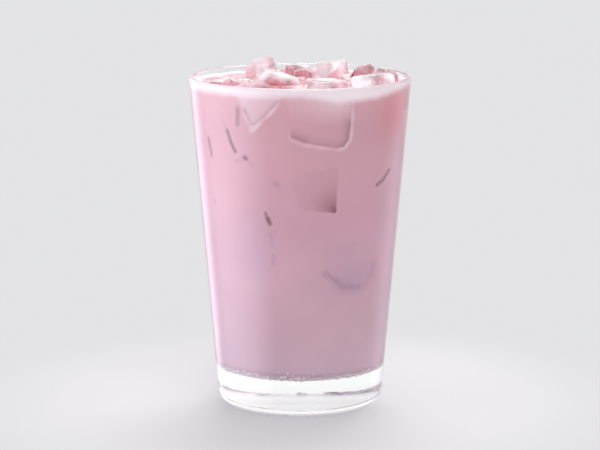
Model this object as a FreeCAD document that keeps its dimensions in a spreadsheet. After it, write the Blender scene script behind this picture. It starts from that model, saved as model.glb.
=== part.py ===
import FreeCAD, Part
import math
import os
import Sketcher

# An iced fruit drink in its straight, tapered glass. The frame is the glass's
# own: Z is its axis, the foot stands on Z = 0 and the origin is the middle of
# the foot. Lengths are millimetres and angles are degrees.

sizes = {
    "glass_height": 134.0,
    "rim_radius": 45.0,
    "foot_radius": 33.2,      # where the straight side would meet the table
    "foot_round": 5.2,
    "rim_wall": 2.4,
    "floor_wall": 3.4,        # the wall just above the thick base
    "base_thickness": 15.0,
    "floor_round": 5.0,       # hollow corner between the floor and the wall
    "rim_round": 1.1,
    "punt_radius": 24.0,      # shallow hollow under the foot
    "punt_depth": 1.2,
    "drink_gap": 3.5,         # from the drink's level up to the rim
    "ice_round": 1.6,
    "ice_clearance": 0.5,     # least film of drink between ice and glass
}

# The ice that breaks the surface. Width, depth and tall are the block's edges,
# bearing and reach its place (reach is a share of the glass's inside radius at
# the drink's level), lift its middle above that level, and yaw, pitch and roll
# how it lies.
iceColumns = ("width", "depth", "tall", "bearing", "reach", "lift", "yaw", "pitch", "roll")
iceBlocks = {
    "ice_1": (12.0, 13.0, 20.0, 131, 0.54, -1.3, 9, -13, 0),       # rear peak
    "ice_2": (18.5, 15.0, 20.0, 184, 0.26, -4.8, -13, 16.5, -4),   # tilted slab
    "ice_3": (10.5, 16.0, 16.0, 93, 0.597, -2.6, 3, 3, -2),        # rear
    "ice_4": (15.5, 14.5, 20.0, 57, 0.55, -3.2, 3, -4, 0),         # rear block
    "ice_5": (10.5, 10.0, 18.0, 37, 0.79, -2.2, 35, 8, 6),          # rear right tip
    "ice_6": (11.5, 12.0, 16.0, 15.7, 0.83, -2.3, 14, 7, 0),          # right edge
    "ice_7": (18.5, 15.0, 18.0, -15.7, 0.725, -4.0, 5, -3, -2),       # front right
    "ice_8": (16.5, 14.0, 18.0, -66, 0.65, -4.2, 3, 1, 4),         # front
    "ice_9": (11.5, 11.5, 16.0, 234, 0.745, -4.4, 38, -4, -5),     # front left
    "ice_10": (11.0, 14.0, 14.0, 177, 0.78, -5.2, 6, -5, 3),       # left edge
}

doc = FreeCAD.newDocument("iced_fruit_drink")
sheet = doc.addObject("Spreadsheet::Sheet", "Sizes")


def fillSheet():
    """Write every size into the sheet as a plain number with an alias."""
    rows = dict(sizes)
    for block, values in iceBlocks.items():
        for column, value in zip(iceColumns, values):
            rows[block + "_" + column] = value
    for row, (alias, value) in enumerate(rows.items(), start=1):
        sheet.set("A%d" % row, alias)
        sheet.set("B%d" % row, str(value))
        sheet.setAlias("B%d" % row, alias)
    doc.recompute()


def size(alias):
    return "Sizes." + alias


# Expressions that more than one piece fits to.
rimInside = "(Sizes.rim_radius - Sizes.rim_wall)"
sideSlope = "((Sizes.rim_radius - Sizes.foot_radius) / Sizes.glass_height)"
floorInside = "(Sizes.foot_radius + %s * Sizes.base_thickness - Sizes.floor_wall)" % sideSlope
cavityDepth = "(Sizes.glass_height - Sizes.base_thickness)"
cavitySlope = "((%s - %s) / %s)" % (rimInside, floorInside, cavityDepth)
drinkLevel = "(Sizes.glass_height - Sizes.drink_gap)"
drinkRadius = "(%s - %s * Sizes.drink_gap)" % (rimInside, cavitySlope)


def newBody(name):
    body = doc.addObject("PartDesign::Body", name)
    body.Label = name
    return body


def originPlane(body, role):
    for feature in body.Origin.OriginFeatures:
        if feature.Role == role:
            return feature
    raise ValueError("no plane " + role)


def newSketch(body, name, role):
    sketch = body.newObject("Sketcher::SketchObject", name)
    sketch.AttachmentSupport = [(originPlane(body, role), "")]
    sketch.MapMode = "FlatFace"
    return sketch


def placeCorner(sketch, line, name, axis, expression):
    """Hold the start of a line on an axis, or at a bound distance from it."""
    if expression == "0":
        onAxis = -2 if axis == "DistanceX" else -1
        sketch.addConstraint(Sketcher.Constraint("PointOnObject", line, 1, onAxis))
        return
    value = float(sketch.evalExpression(expression))
    index = sketch.addConstraint(Sketcher.Constraint(axis, -1, 1, line, 1, value))
    sketch.renameConstraint(index, name)
    sketch.setExpression("Constraints." + name, expression)


def closedOutline(sketch, corners):
    """Draw straight lines through corners given as pairs of expressions."""
    points = []
    for across, up in corners:
        x = float(sketch.evalExpression(across))
        y = float(sketch.evalExpression(up))
        points.append(FreeCAD.Vector(x, y, 0))
    count = len(points)
    for index in range(count):
        sketch.addGeometry(Part.LineSegment(points[index], points[(index + 1) % count]), False)
    for index in range(count):
        following = (index + 1) % count
        sketch.addConstraint(Sketcher.Constraint("Coincident", index, 2, following, 1))
    for index, (across, up) in enumerate(corners):
        if across == "0" and up == "0":
            sketch.addConstraint(Sketcher.Constraint("Coincident", index, 1, -1, 1))
            continue
        placeCorner(sketch, index, "across_%d" % (index + 1), "DistanceX", across)
        placeCorner(sketch, index, "up_%d" % (index + 1), "DistanceY", up)


def turned(body, kind, sketch):
    """Revolve a sketch about the glass's axis, as a Revolution or a Groove."""
    feature = body.newObject("PartDesign::" + kind, sketch.Name + "_turned")
    feature.Profile = sketch
    feature.ReferenceAxis = (sketch, ["V_Axis"])
    feature.Angle = 360.0
    doc.recompute()
    return feature


def circleEdges(feature, wanted):
    """Name the circular edges that have one of the wanted radius, height pairs."""
    names = []
    for number, edge in enumerate(feature.Shape.Edges, start=1):
        if edge.Degenerated or not isinstance(edge.Curve, Part.Circle):
            continue
        for radius, height in wanted:
            near = abs(edge.Curve.Radius - radius) < 0.01
            if near and abs(edge.Curve.Center.z - height) < 0.01:
                names.append("Edge%d" % number)
    if len(names) != len(wanted):
        raise ValueError("%s: %d edges to round" % (feature.Name, len(names)))
    return names


def rounded(body, name, feature, edges, radius):
    fillet = body.newObject("PartDesign::Fillet", name)
    fillet.Base = (feature, edges)
    fillet.setExpression("Radius", radius)
    doc.recompute()
    return fillet


def valueOf(expression):
    return float(sheet.evalExpression(expression))


def makeGlass():
    body = newBody("glass")
    outline = newSketch(body, "glass_outline", "XZ_Plane")
    closedOutline(outline, [
        ("0", "0"),
        (size("foot_radius"), "0"),
        (size("rim_radius"), size("glass_height")),
        ("0", size("glass_height")),
    ])
    blank = turned(body, "Revolution", outline)
    foot = circleEdges(blank, [(valueOf(size("foot_radius")), 0.0)])
    rounded(body, "foot_rounding", blank, foot, size("foot_round"))
    makeCavity(body)
    makePunt(body)
    rimHeight = valueOf(size("glass_height"))
    rimEdges = [(valueOf(size("rim_radius")), rimHeight), (valueOf(rimInside), rimHeight)]
    rim = circleEdges(body.Tip, rimEdges)
    lip = "min(Sizes.rim_round; Sizes.rim_wall * 0.46)"
    rounded(body, "rim_rounding", body.Tip, rim, lip)
    return body


def makeCavity(body):
    """Hollow the glass down to its thick base."""
    solid = body.Tip.Shape.Volume
    outline = newSketch(body, "cavity_outline", "XZ_Plane")
    top = "(Sizes.glass_height + Sizes.rim_wall)"
    closedOutline(outline, [
        ("0", size("base_thickness")),
        (floorInside, size("base_thickness")),
        (rimInside, size("glass_height")),
        (rimInside, top),
        ("0", top),
    ])
    cavity = turned(body, "Groove", outline)
    if cavity.Shape.Volume > solid * 0.9:
        raise ValueError("the cavity cut nothing")
    floor = circleEdges(cavity, [(valueOf(floorInside), valueOf(size("base_thickness")))])
    rounded(body, "floor_rounding", cavity, floor, size("floor_round"))


def makePunt(body):
    """Cut the shallow domed hollow under the foot, which leaves a flat ring."""
    before = body.Tip.Shape.Volume
    radius = valueOf(size("punt_radius"))
    depth = valueOf(size("punt_depth"))
    dome = (radius ** 2 + depth ** 2) / (2 * depth)
    centre = FreeCAD.Vector(0, depth - dome, 0)
    outline = newSketch(body, "punt_outline", "XZ_Plane")
    circle = Part.Circle(centre, FreeCAD.Vector(0, 0, 1), dome)
    start = math.atan2(dome - depth, radius)
    outline.addGeometry(Part.ArcOfCircle(circle, start, math.pi / 2), False)
    crown = FreeCAD.Vector(0, depth, 0)
    middle = FreeCAD.Vector(0, 0, 0)
    outline.addGeometry(Part.LineSegment(crown, middle), False)
    outline.addGeometry(Part.LineSegment(middle, FreeCAD.Vector(radius, 0, 0)), False)
    for first, end, second, begin in ((0, 2, 1, 1), (1, 2, 2, 1), (2, 2, 0, 1), (1, 2, -1, 1)):
        outline.addConstraint(Sketcher.Constraint("Coincident", first, end, second, begin))
    outline.addConstraint(Sketcher.Constraint("PointOnObject", 1, 1, -2))
    outline.addConstraint(Sketcher.Constraint("PointOnObject", 0, 3, -2))
    outline.addConstraint(Sketcher.Constraint("PointOnObject", 2, 2, -1))
    across = outline.addConstraint(Sketcher.Constraint("DistanceX", -1, 1, 2, 2, radius))
    outline.renameConstraint(across, "punt_across")
    outline.setExpression("Constraints.punt_across", size("punt_radius"))
    up = outline.addConstraint(Sketcher.Constraint("DistanceY", -1, 1, 1, 1, depth))
    outline.renameConstraint(up, "punt_up")
    outline.setExpression("Constraints.punt_up", size("punt_depth"))
    punt = turned(body, "Groove", outline)
    if punt.Shape.Volume >= before:
        raise ValueError("the punt cut nothing")


def makeFill(name, clearance, top):
    """Turn the glass's inside up to a height, a clearance short of its wall."""
    body = newBody(name)
    outline = newSketch(body, name + "_outline", "XZ_Plane")
    floor = "(Sizes.base_thickness + %s)" % clearance
    lower = "(%s + %s * %s - %s)" % (floorInside, cavitySlope, clearance, clearance)
    upper = "(%s + %s * (%s - Sizes.base_thickness) - %s)" % (floorInside, cavitySlope, top, clearance)
    closedOutline(outline, [("0", floor), (lower, floor), (upper, top), ("0", top)])
    fill = turned(body, "Revolution", outline)
    corner = circleEdges(fill, [(valueOf(lower), valueOf(floor))])
    rounded(body, name + "_rounding", fill, corner, size("floor_round"))
    return body


def makeIceBlock(name):
    """Make one rounded block about its middle, then lay it in the drink."""
    body = newBody(name + "_block")
    face = newSketch(body, name + "_face", "XY_Plane")
    halfWidth = "Sizes.%s_width / 2" % name
    halfDepth = "Sizes.%s_depth / 2" % name
    closedOutline(face, [
        ("-" + halfWidth, "-" + halfDepth),
        (halfWidth, "-" + halfDepth),
        (halfWidth, halfDepth),
        ("-" + halfWidth, halfDepth),
    ])
    pad = body.newObject("PartDesign::Pad", name + "_pad")
    pad.Profile = face
    pad.SideType = "Symmetric"
    pad.setExpression("Length", "Sizes.%s_tall" % name)
    doc.recompute()
    edges = ["Edge%d" % number for number in range(1, len(pad.Shape.Edges) + 1)]
    rounded(body, name + "_rounding", pad, edges, size("ice_round"))
    reach = "(Sizes.%s_reach * %s)" % (name, drinkRadius)
    bearing = "Sizes.%s_bearing * 1deg" % name
    x = "%s * cos(%s)" % (reach, bearing)
    y = "%s * sin(%s)" % (reach, bearing)
    z = "%s + Sizes.%s_lift" % (drinkLevel, name)
    turn = "Sizes.%s_yaw; Sizes.%s_pitch; Sizes.%s_roll" % (name, name, name)
    spot = "create(<<vector>>; %s; %s; %s)" % (x, y, z)
    body.setExpression("Placement", "create(<<placement>>; %s; create(<<rotation>>; %s))" % (spot, turn))
    doc.recompute()
    return body


def combine(kind, name, base, tool):
    result = doc.addObject("Part::" + kind, name)
    result.Label = name
    result.Base = base
    result.Tool = tool
    doc.recompute()
    return result


def makeIce(room):
    """Make the blocks, each kept off the wall and off the blocks before it."""
    pieces = []
    for name in iceBlocks:
        block = makeIceBlock(name)
        inside = combine("Common", name + "_inside", block, room)
        if not pieces:
            inside.Label = name
            pieces.append(inside)
            continue
        others = doc.addObject("Part::Compound", name + "_others")
        others.Links = pieces
        pieces.append(combine("Cut", name, inside, others))
    return pieces


def makeDrink(pieces):
    """Fill the glass to its level, cut round the ice that stands in it."""
    fill = makeFill("drink_fill", "0", drinkLevel)
    allIce = doc.addObject("Part::Compound", "all_ice")
    allIce.Links = pieces
    return combine("Cut", "drink", fill, allIce)


def checkDocument(nodes):
    """Stop on a failed object, or on a node whose shape is not one sound solid."""
    doc.recompute()
    for item in doc.Objects:
        if "Invalid" in item.State or "Error" in item.State:
            raise ValueError("%s failed: %s" % (item.Name, item.State))
    for node in nodes:
        shape = node.Shape
        if shape.isNull() or not shape.isValid() or len(shape.Solids) != 1:
            raise ValueError("%s has no sound solid" % node.Label)


fillSheet()
glass = makeGlass()
iceRoom = makeFill("ice_room", size("ice_clearance"), "(Sizes.glass_height * 1.5)")
icePieces = makeIce(iceRoom)
drink = makeDrink(icePieces)
allNodes = [glass, drink] + icePieces
checkDocument(allNodes)

os.makedirs("parts", exist_ok=True)
for node in allNodes:
    node.Shape.exportStep("parts/%s.step" % node.Label)
    box = node.Shape.BoundBox
    print("%-8s %9.1f mm3  z %6.1f to %6.1f" % (node.Label, node.Shape.Volume, box.ZMin, box.ZMax))
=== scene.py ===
import math
from functools import partial

import bmesh
import bpy
import numpy as np
from mathutils import Matrix, Vector, noise
from mathutils.bvhtree import BVHTree


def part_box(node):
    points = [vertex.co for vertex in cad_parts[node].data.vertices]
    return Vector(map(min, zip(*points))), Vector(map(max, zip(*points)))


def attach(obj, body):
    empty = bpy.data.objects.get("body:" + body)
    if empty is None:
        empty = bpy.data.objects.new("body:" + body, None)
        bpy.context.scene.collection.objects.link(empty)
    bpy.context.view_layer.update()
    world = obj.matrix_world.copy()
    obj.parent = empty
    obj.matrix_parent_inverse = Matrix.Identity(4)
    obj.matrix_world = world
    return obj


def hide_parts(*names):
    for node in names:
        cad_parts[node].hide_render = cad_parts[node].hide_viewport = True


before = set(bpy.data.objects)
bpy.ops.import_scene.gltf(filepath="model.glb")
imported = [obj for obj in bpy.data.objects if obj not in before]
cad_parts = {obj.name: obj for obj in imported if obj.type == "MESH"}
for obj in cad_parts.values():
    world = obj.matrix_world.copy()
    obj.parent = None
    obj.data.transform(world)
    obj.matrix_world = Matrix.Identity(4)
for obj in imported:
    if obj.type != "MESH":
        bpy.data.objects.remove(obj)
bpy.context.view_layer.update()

# An iced, milky pink fruit drink in a straight tapered glass. Lengths in the
# dictionaries are millimetres, and mm turns them into metres, unless a note says
# metres. Bearings on the wall are degrees round from the front, + to the right.
mm = 0.001
glassLow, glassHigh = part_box("glass")
drinkLow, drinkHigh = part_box("drink")
level = drinkHigh.z / mm
iceNames = [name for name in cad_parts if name.startswith("ice_")]
iceNames.sort(key=lambda name: int(name[4:]))


def toLinear(hexCode, alpha=1.0):
    # sRGB hex to the linear colour that a socket takes
    parts = [int(hexCode[i:i + 2], 16) / 255 for i in (1, 3, 5)]
    return tuple(p / 12.92 if p <= 0.04045 else ((p + 0.055) / 1.055) ** 2.4 for p in parts) + (alpha,)


def addNode(tree, kind, inputs=None, **settings):
    # an input is a value, a socket, or a node whose first output is meant
    made = tree.nodes.new(kind)
    for name, value in settings.items():
        setattr(made, name, value)
    for name, value in (inputs or {}).items():
        if isinstance(value, bpy.types.Node):
            value = value.outputs[0]
        if isinstance(value, bpy.types.NodeSocket):
            tree.links.new(value, made.inputs[name])
        else:
            made.inputs[name].default_value = value
    return made


def nodesOf(owner):
    # empties the node tree of a material, lamp or world, and gives what adds to it
    owner.use_nodes = True
    owner.node_tree.nodes.clear()
    return partial(addNode, owner.node_tree)


def makeMaterial(name, finish):
    material = bpy.data.materials.new(name)
    add = nodesOf(material)
    add("ShaderNodeOutputMaterial", {"Surface": finish(add)})
    return material


def inScene(name, data):
    made = bpy.data.objects.new(name, data)
    bpy.context.scene.collection.objects.link(made)
    return made


def newPiece(name, vertices, faces, material=None, smooth=True):
    mesh = bpy.data.meshes.new(name)
    mesh.from_pydata([tuple(v) for v in vertices], [], faces)
    mesh.update()
    piece = inScene(name, mesh)
    if material:
        mesh.materials.append(material)
    if smooth:
        mesh.shade_smooth()
    return piece


def plainMesh(piece):
    # what the modifiers make becomes the piece's own mesh
    graph = bpy.context.evaluated_depsgraph_get()
    made = bpy.data.meshes.new_from_object(piece.evaluated_get(graph))
    piece.modifiers.clear()
    piece.data = made
    return piece


def outwards(piece):
    # loose points go, doubles merge, and the faces are turned to point outwards
    work = bmesh.new()
    work.from_mesh(piece.data)
    bmesh.ops.delete(work, geom=[v for v in work.verts if not v.link_faces], context="VERTS")
    bmesh.ops.remove_doubles(work, verts=work.verts, dist=1e-7)
    bmesh.ops.recalc_face_normals(work, faces=work.faces)
    work.to_mesh(piece.data)
    work.free()
    return piece


def readVectors(piece, kind):
    vertices = piece.data.vertices
    values = np.empty(len(vertices) * 3)
    vertices.foreach_get(kind, values)
    return values.reshape(-1, 3)


def giveValues(piece, name, values):
    # one value for each vertex, or one for them all, which the material reads
    values = np.full(len(piece.data.vertices), values, dtype=np.float32)
    piece.data.attributes.new(name, "FLOAT", "POINT").data.foreach_set("value", values)


def smoothStep(low, high, value):
    share = np.clip((value - low) / (high - low), 0, 1)
    return share * share * (3 - 2 * share)


def onWall(bearing, radius, height):
    # a point from its bearing in degrees, its radius and its height
    angle = math.radians(bearing)
    return (radius * math.sin(angle) * mm, -radius * math.cos(angle) * mm, height * mm)


def ringOf(columns, radius, height):
    return [onWall(360 * k / columns, radius, height) for k in range(columns)]


def closedRings(rings, columns):
    # faces between rings of points, with the first and the last point as poles
    faces = []
    last = 1 + rings * columns
    for k in range(columns):
        k2 = (k + 1) % columns
        faces.append((0, 1 + k2, 1 + k))
        for a in range(1, last - columns, columns):
            faces.append((a + k, a + k2, a + columns + k2, a + columns + k))
        faces.append((last - columns + k, last - columns + k2, last))
    return faces


# The glass: clear pressed soda-lime, one turned form with a thick base.
glassSizes = {
    "height": glassHigh.z / mm,
    "rimRadius": 45.0,
    "footRadius": 33.2,
    "footRound": 5.2,
    "rimWall": 2.4,
    "floorWall": 3.4,
    "base": drinkLow.z / mm,
    "floorRound": 5.0,
    "rimRound": 1.1,
    "puntRadius": 24.0,     # the shallow hollow under the foot
    "puntDepth": 1.2,
    "puntSteps": 15,
    "columns": 256,
    "longest": 2.5,         # between rings on the straight runs
}


def sideRadius(height):
    s = glassSizes
    return s["footRadius"] + (s["rimRadius"] - s["footRadius"]) * height / s["height"]


def insideRadius(height):
    s = glassSizes
    floor = sideRadius(s["base"]) - s["floorWall"]
    rim = s["rimRadius"] - s["rimWall"]
    return floor + (rim - floor) * (height - s["base"]) / (s["height"] - s["base"])


arcStep = 0.12      # radians between points on a rounded corner


def roundedCorners(corners):
    # corners are (radius, height, rounding)
    points = []
    for i, (r, z, rounding) in enumerate(corners):
        here = Vector((r, z))
        if rounding == 0:
            points.append(here)
            continue
        before = (Vector(corners[i - 1][:2]) - here).normalized()
        after = (Vector(corners[i + 1][:2]) - here).normalized()
        half = before.angle(after) / 2
        reach = rounding / math.tan(half)
        centre = here + (before + after).normalized() * rounding / math.sin(half)
        start = here + before * reach - centre
        turn = (here + after * reach - centre).angle_signed(start)
        count = max(2, math.ceil(abs(turn) / arcStep))
        for k in range(count + 1):
            spin = Matrix.Rotation(turn * k / count, 2)
            points.append(centre + spin @ start)
    return points


def stepped(points, longest):
    # long straight runs get points between, so that quads stay near square
    done = [points[0]]
    for point in points[1:]:
        last = done[-1]
        count = max(1, math.ceil((point - last).length / longest))
        done.extend(last.lerp(point, k / count) for k in range(1, count + 1))
    return done


def turnedPiece(name, outline, columns, material):
    # outline runs from the axis to the axis, and its two ends become poles
    vertices = [(0, 0, outline[0].y * mm)]
    for point in outline[1:-1]:
        vertices += ringOf(columns, point.x, point.y)
    vertices.append((0, 0, outline[-1].y * mm))
    return outwards(newPiece(name, vertices, closedRings(len(outline) - 2, columns), material))


def glassOutline():
    s = glassSizes
    corners = []
    for k in range(s["puntSteps"] + 1):
        lift = s["puntDepth"] * (0.5 + 0.5 * math.cos(math.pi * k / s["puntSteps"]))
        corners.append((s["puntRadius"] * k / s["puntSteps"], lift, 0))
    corners += [
        (s["footRadius"], 0, s["footRound"]),
        (s["rimRadius"], s["height"], s["rimRound"]),
        (s["rimRadius"] - s["rimWall"], s["height"], s["rimRound"]),
        (insideRadius(s["base"]), s["base"], s["floorRound"]),
        (0, s["base"], 0),
    ]
    return stepped(roundedCorners(corners), s["longest"])


glassLook = {
    "colour": "#FDFEFE",
    "shadow": "#FAFBFC",    # what is left of light that goes straight through
    "ior": 1.5,
    "waveLength": 14.0,
    "waveDepth": 0.4,
    "waveStrength": 0.08,
    "groundTo": 0.6,        # the foot is ground glass up to here
    "clearFrom": 2.2,       # and clear from here up
    "ground": 0.9,          # how much of it is ground
    "through": 0.7,         # how much of that lets light in
}


def sodaLimeGlass(add):
    # pressed soda-lime glass, fire polished: clear, hard bright edges, a slight
    # waviness. Straight shadow rays pass, so that the lamps reach what it holds.
    look = glassLook
    place = add("ShaderNodeTexCoord").outputs["Object"]
    wave = add("ShaderNodeTexNoise", {
        "Vector": place, "Scale": 1 / (look["waveLength"] * mm), "Detail": 1.0})
    bump = add("ShaderNodeBump", {
        "Height": wave, "Strength": look["waveStrength"], "Distance": look["waveDepth"] * mm})
    glass = add("ShaderNodeBsdfPrincipled", {
        "Base Color": toLinear(look["colour"]), "Roughness": 0.0, "IOR": look["ior"],
        "Transmission Weight": 1.0, "Normal": bump})
    clear = add("ShaderNodeBsdfTransparent", {"Color": toLinear(look["shadow"])})
    light = add("ShaderNodeLightPath").outputs["Is Shadow Ray"]
    z = add("ShaderNodeSeparateXYZ", {"Vector": place}).outputs["Z"]
    foot = add("ShaderNodeMapRange", {
        "Value": z, "From Min": look["clearFrom"] * mm, "From Max": look["groundTo"] * mm,
        "To Max": look["ground"]}, interpolation_type="SMOOTHSTEP")
    ground = add("ShaderNodeBsdfDiffuse", {"Color": toLinear("#FFFFFF")})
    through = add("ShaderNodeBsdfTranslucent", {"Color": toLinear("#FFFFFF")})
    ground = add("ShaderNodeMixShader", {0: look["through"], 1: ground, 2: through})
    glass = add("ShaderNodeMixShader", {0: foot, 1: glass, 2: ground})
    return add("ShaderNodeMixShader", {0: light, 1: glass, 2: clear})


drinkLook = {
    "top": "#D9A6B0",       # salmon, just under the surface
    "middle": "#DBABBB",
    "bottom": "#DCB9CA",    # more mauve towards the floor
    "pale": "#FDF1F6",      # milk squeezed thin against ice or froth; also painted highlight beside sunk ice and painted light on the drink's underside
    "dark": "#924B5C",      # painted shade: multiplies the colour along the edges and in the corners of sunk ice
    "mauve": "#B496B8",     # where ice shines faintly through
    "salmon": "#DA8791",    # a redder streak
    "roughness": 0.4,
    "cloudScale": 30.0,
    "hollow": "#CF7F8B",    # low places in the wet surface
    "crest": "#EDC4CC",
    "wetRoughness": 0.12,
    "wetScale": 7.0,
}


def drinkColour(add):
    # the colour of the drink seen through the wall, by height, with the marks that sunk ice and froth
    # leave on it as values on their meshes; dark is painted shade, and pale is partly painted highlight
    # and painted light
    look = drinkLook
    place = add("ShaderNodeTexCoord").outputs["Object"]
    z = add("ShaderNodeSeparateXYZ", {"Vector": place}).outputs["Z"]
    share = add("ShaderNodeMapRange", {
        "Value": z, "From Min": glassSizes["base"] * mm, "From Max": drinkHigh.z})
    ramp = add("ShaderNodeValToRGB", {"Fac": share})
    stops = ramp.color_ramp.elements
    stops[0].color = toLinear(look["bottom"])
    stops[1].color = toLinear(look["top"])
    stops.new(0.6).color = toLinear(look["middle"])
    cloud = add("ShaderNodeTexNoise", {
        "Vector": place, "Scale": 1 / (look["cloudScale"] * mm), "Detail": 2.0})
    strength = add("ShaderNodeMapRange", {
        "Value": cloud, "From Min": 0.3, "From Max": 0.7, "To Min": 0.94, "To Max": 1.04})
    colour = add("ShaderNodeVectorMath", {0: ramp, "Scale": strength}, operation="SCALE")
    for name, blend in (("salmon", "MIX"), ("mauve", "MIX"), ("dark", "MULTIPLY"), ("pale", "MIX")):
        value = add("ShaderNodeAttribute", attribute_name=name).outputs["Fac"]
        colour = add("ShaderNodeMix", {0: value, 6: colour, 7: toLinear(look[name])},
                     data_type="RGBA", blend_type=blend).outputs[2]
    return colour


def milkyDrink(add):
    # milk with fruit puree against glass: opaque, with a broad pearly sheen from
    # the fat in it and no sharp shine of its own
    return add("ShaderNodeBsdfPrincipled", {
        "Base Color": drinkColour(add), "Roughness": drinkLook["roughness"], "IOR": 1.5,
        "Specular IOR Level": 0.75})


def wetDrink(add):
    # the same drink where it is open to the air: wet, glossy, redder in hollows
    look = drinkLook
    place = add("ShaderNodeTexCoord").outputs["Object"]
    cloud = add("ShaderNodeTexNoise", {
        "Vector": place, "Scale": 1 / (look["wetScale"] * mm), "Detail": 3.0})
    ramp = add("ShaderNodeValToRGB", {"Fac": cloud})
    stops = ramp.color_ramp.elements
    stops[0].position = 0.36
    stops[0].color = toLinear(look["hollow"])
    stops[1].position = 0.66
    stops[1].color = toLinear(look["crest"])
    return add("ShaderNodeBsdfPrincipled", {
        "Base Color": ramp, "Roughness": look["wetRoughness"], "IOR": 1.35,
        "Subsurface Weight": 0.5, "Subsurface Radius": (1.0, 0.5, 0.55), "Subsurface Scale": 2 * mm})


iceLook = {
    "white": "#FBF3F6",     # frosted skin, whitest high up, and on level faces as painted light from above
    "pink": "#E6B3BE",      # steep faces, where the drink's colour comes through
    "rose": "#DC9AA7",      # blocks soaked through with the drink
    "edge": "#FFFCFD",      # broken edges, frostier, with painted highlight on the upward ones
    "clear": "#FFF8FA",
    "shadow": "#F7E6EA",    # what is left of light that goes through a block
    "passes": 0.85,         # how much of it goes through
    "ior": 1.31,
    "frostTo": 5.0,         # above the drink, where the skin is whitest
    "cloudScale": 9.0,
    "crackScale": 8.0,      # planes where a cube has split and healed
    "rippleScale": 2.6,
    "rippleDepth": 0.5,
    "glow": 1.5,            # how far light wanders inside cloudy ice
}


def meltingIce(add):
    # wet melting ice: frosted and white along its broken edges, with painted highlight on the upward
    # ones, whiter on level faces as painted light from above, cloudy with frozen-in air, and pink where
    # it stands in the drink
    look = iceLook
    place = add("ShaderNodeTexCoord").outputs["Object"]
    z = add("ShaderNodeSeparateXYZ", {"Vector": place}).outputs["Z"]
    edge, soaked, frosty = (add("ShaderNodeAttribute", attribute_name=name).outputs["Fac"]
                            for name in ("edge", "soaked", "frosty"))
    # whiter where it is cloudy, high or frosty, and on level faces as painted light from above
    cloud = add("ShaderNodeTexNoise", {
        "Vector": place, "Scale": 1 / (look["cloudScale"] * mm), "Detail": 4.0})
    high = add("ShaderNodeMapRange", {
        "Value": z, "From Min": drinkHigh.z - 1 * mm, "From Max": drinkHigh.z + look["frostTo"] * mm,
        "To Max": 0.45})
    normal = add("ShaderNodeNewGeometry").outputs["Normal"]
    flat = add("ShaderNodeSeparateXYZ", {"Vector": normal}).outputs["Z"]
    flat = add("ShaderNodeMapRange", {
        "Value": flat, "From Min": 0.1, "From Max": 0.95, "To Max": 0.55})
    whiterOrTopLit = add("ShaderNodeMath", {0: cloud, 1: 0.7, 2: high}, operation="MULTIPLY_ADD")
    whiterOrTopLit = add("ShaderNodeMath", {0: whiterOrTopLit, 1: flat}, operation="ADD")
    whiterOrTopLit = add("ShaderNodeMath", {0: frosty, 1: 0.6, 2: whiterOrTopLit}, operation="MULTIPLY_ADD")
    whiterOrTopLit = add("ShaderNodeMapRange", {"Value": whiterOrTopLit, "From Min": 0.5, "From Max": 1.25})
    colour = toLinear(look["pink"])
    # edge mixes in white broken edges, partly painted highlight
    for share, name in ((soaked, "rose"), (whiterOrTopLit, "white"), (edge, "edge")):
        colour = add("ShaderNodeMix", {0: share, 6: colour, 7: toLinear(look[name])},
                     data_type="RGBA").outputs[2]
    # cloudy ice where it is frosty, broken or cracked, clear ice between
    frost = add("ShaderNodeMapRange", {
        "Value": cloud, "From Min": 0.35, "From Max": 0.62, "To Min": 0.1, "To Max": 0.8})
    crack = add("ShaderNodeTexVoronoi", {
        "Vector": place, "Scale": 1 / (look["crackScale"] * mm)}, feature="DISTANCE_TO_EDGE")
    crack = add("ShaderNodeMapRange", {
        "Value": crack, "From Min": 0.0, "From Max": 0.03, "To Min": 0.5, "To Max": 0.0})
    frost = add("ShaderNodeMath", {0: frosty, 1: 0.5, 2: frost}, operation="MULTIPLY_ADD")
    frost = add("ShaderNodeMath", {0: frost, 1: edge}, operation="MAXIMUM")
    frost = add("ShaderNodeMath", {0: frost, 1: crack}, operation="MAXIMUM")
    ripple = add("ShaderNodeTexNoise", {
        "Vector": place, "Scale": 1 / (look["rippleScale"] * mm), "Detail": 2.0})
    bump = add("ShaderNodeBump", {
        "Height": ripple, "Strength": 0.25, "Distance": look["rippleDepth"] * mm})
    clear = add("ShaderNodeBsdfPrincipled", {
        "Base Color": toLinear(look["clear"]), "Roughness": 0.05, "IOR": look["ior"],
        "Transmission Weight": 1.0, "Normal": bump})
    cloudy = add("ShaderNodeBsdfPrincipled", {
        "Base Color": colour, "Roughness": 0.12, "IOR": look["ior"], "Specular IOR Level": 1.0,
        "Normal": bump, "Subsurface Weight": 1.0, "Subsurface Radius": (1.0, 0.8, 0.85),
        "Subsurface Scale": look["glow"] * mm})
    mixed = add("ShaderNodeMixShader", {0: frost, 1: clear, 2: cloudy})
    # light passes on to the drink that the block stands in
    passing = add("ShaderNodeBsdfTransparent", {"Color": toLinear(look["shadow"])})
    light = add("ShaderNodeLightPath").outputs["Is Shadow Ray"]
    light = add("ShaderNodeMath", {0: light, 1: look["passes"]}, operation="MULTIPLY")
    return add("ShaderNodeMixShader", {0: light, 1: mixed, 2: passing})


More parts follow.
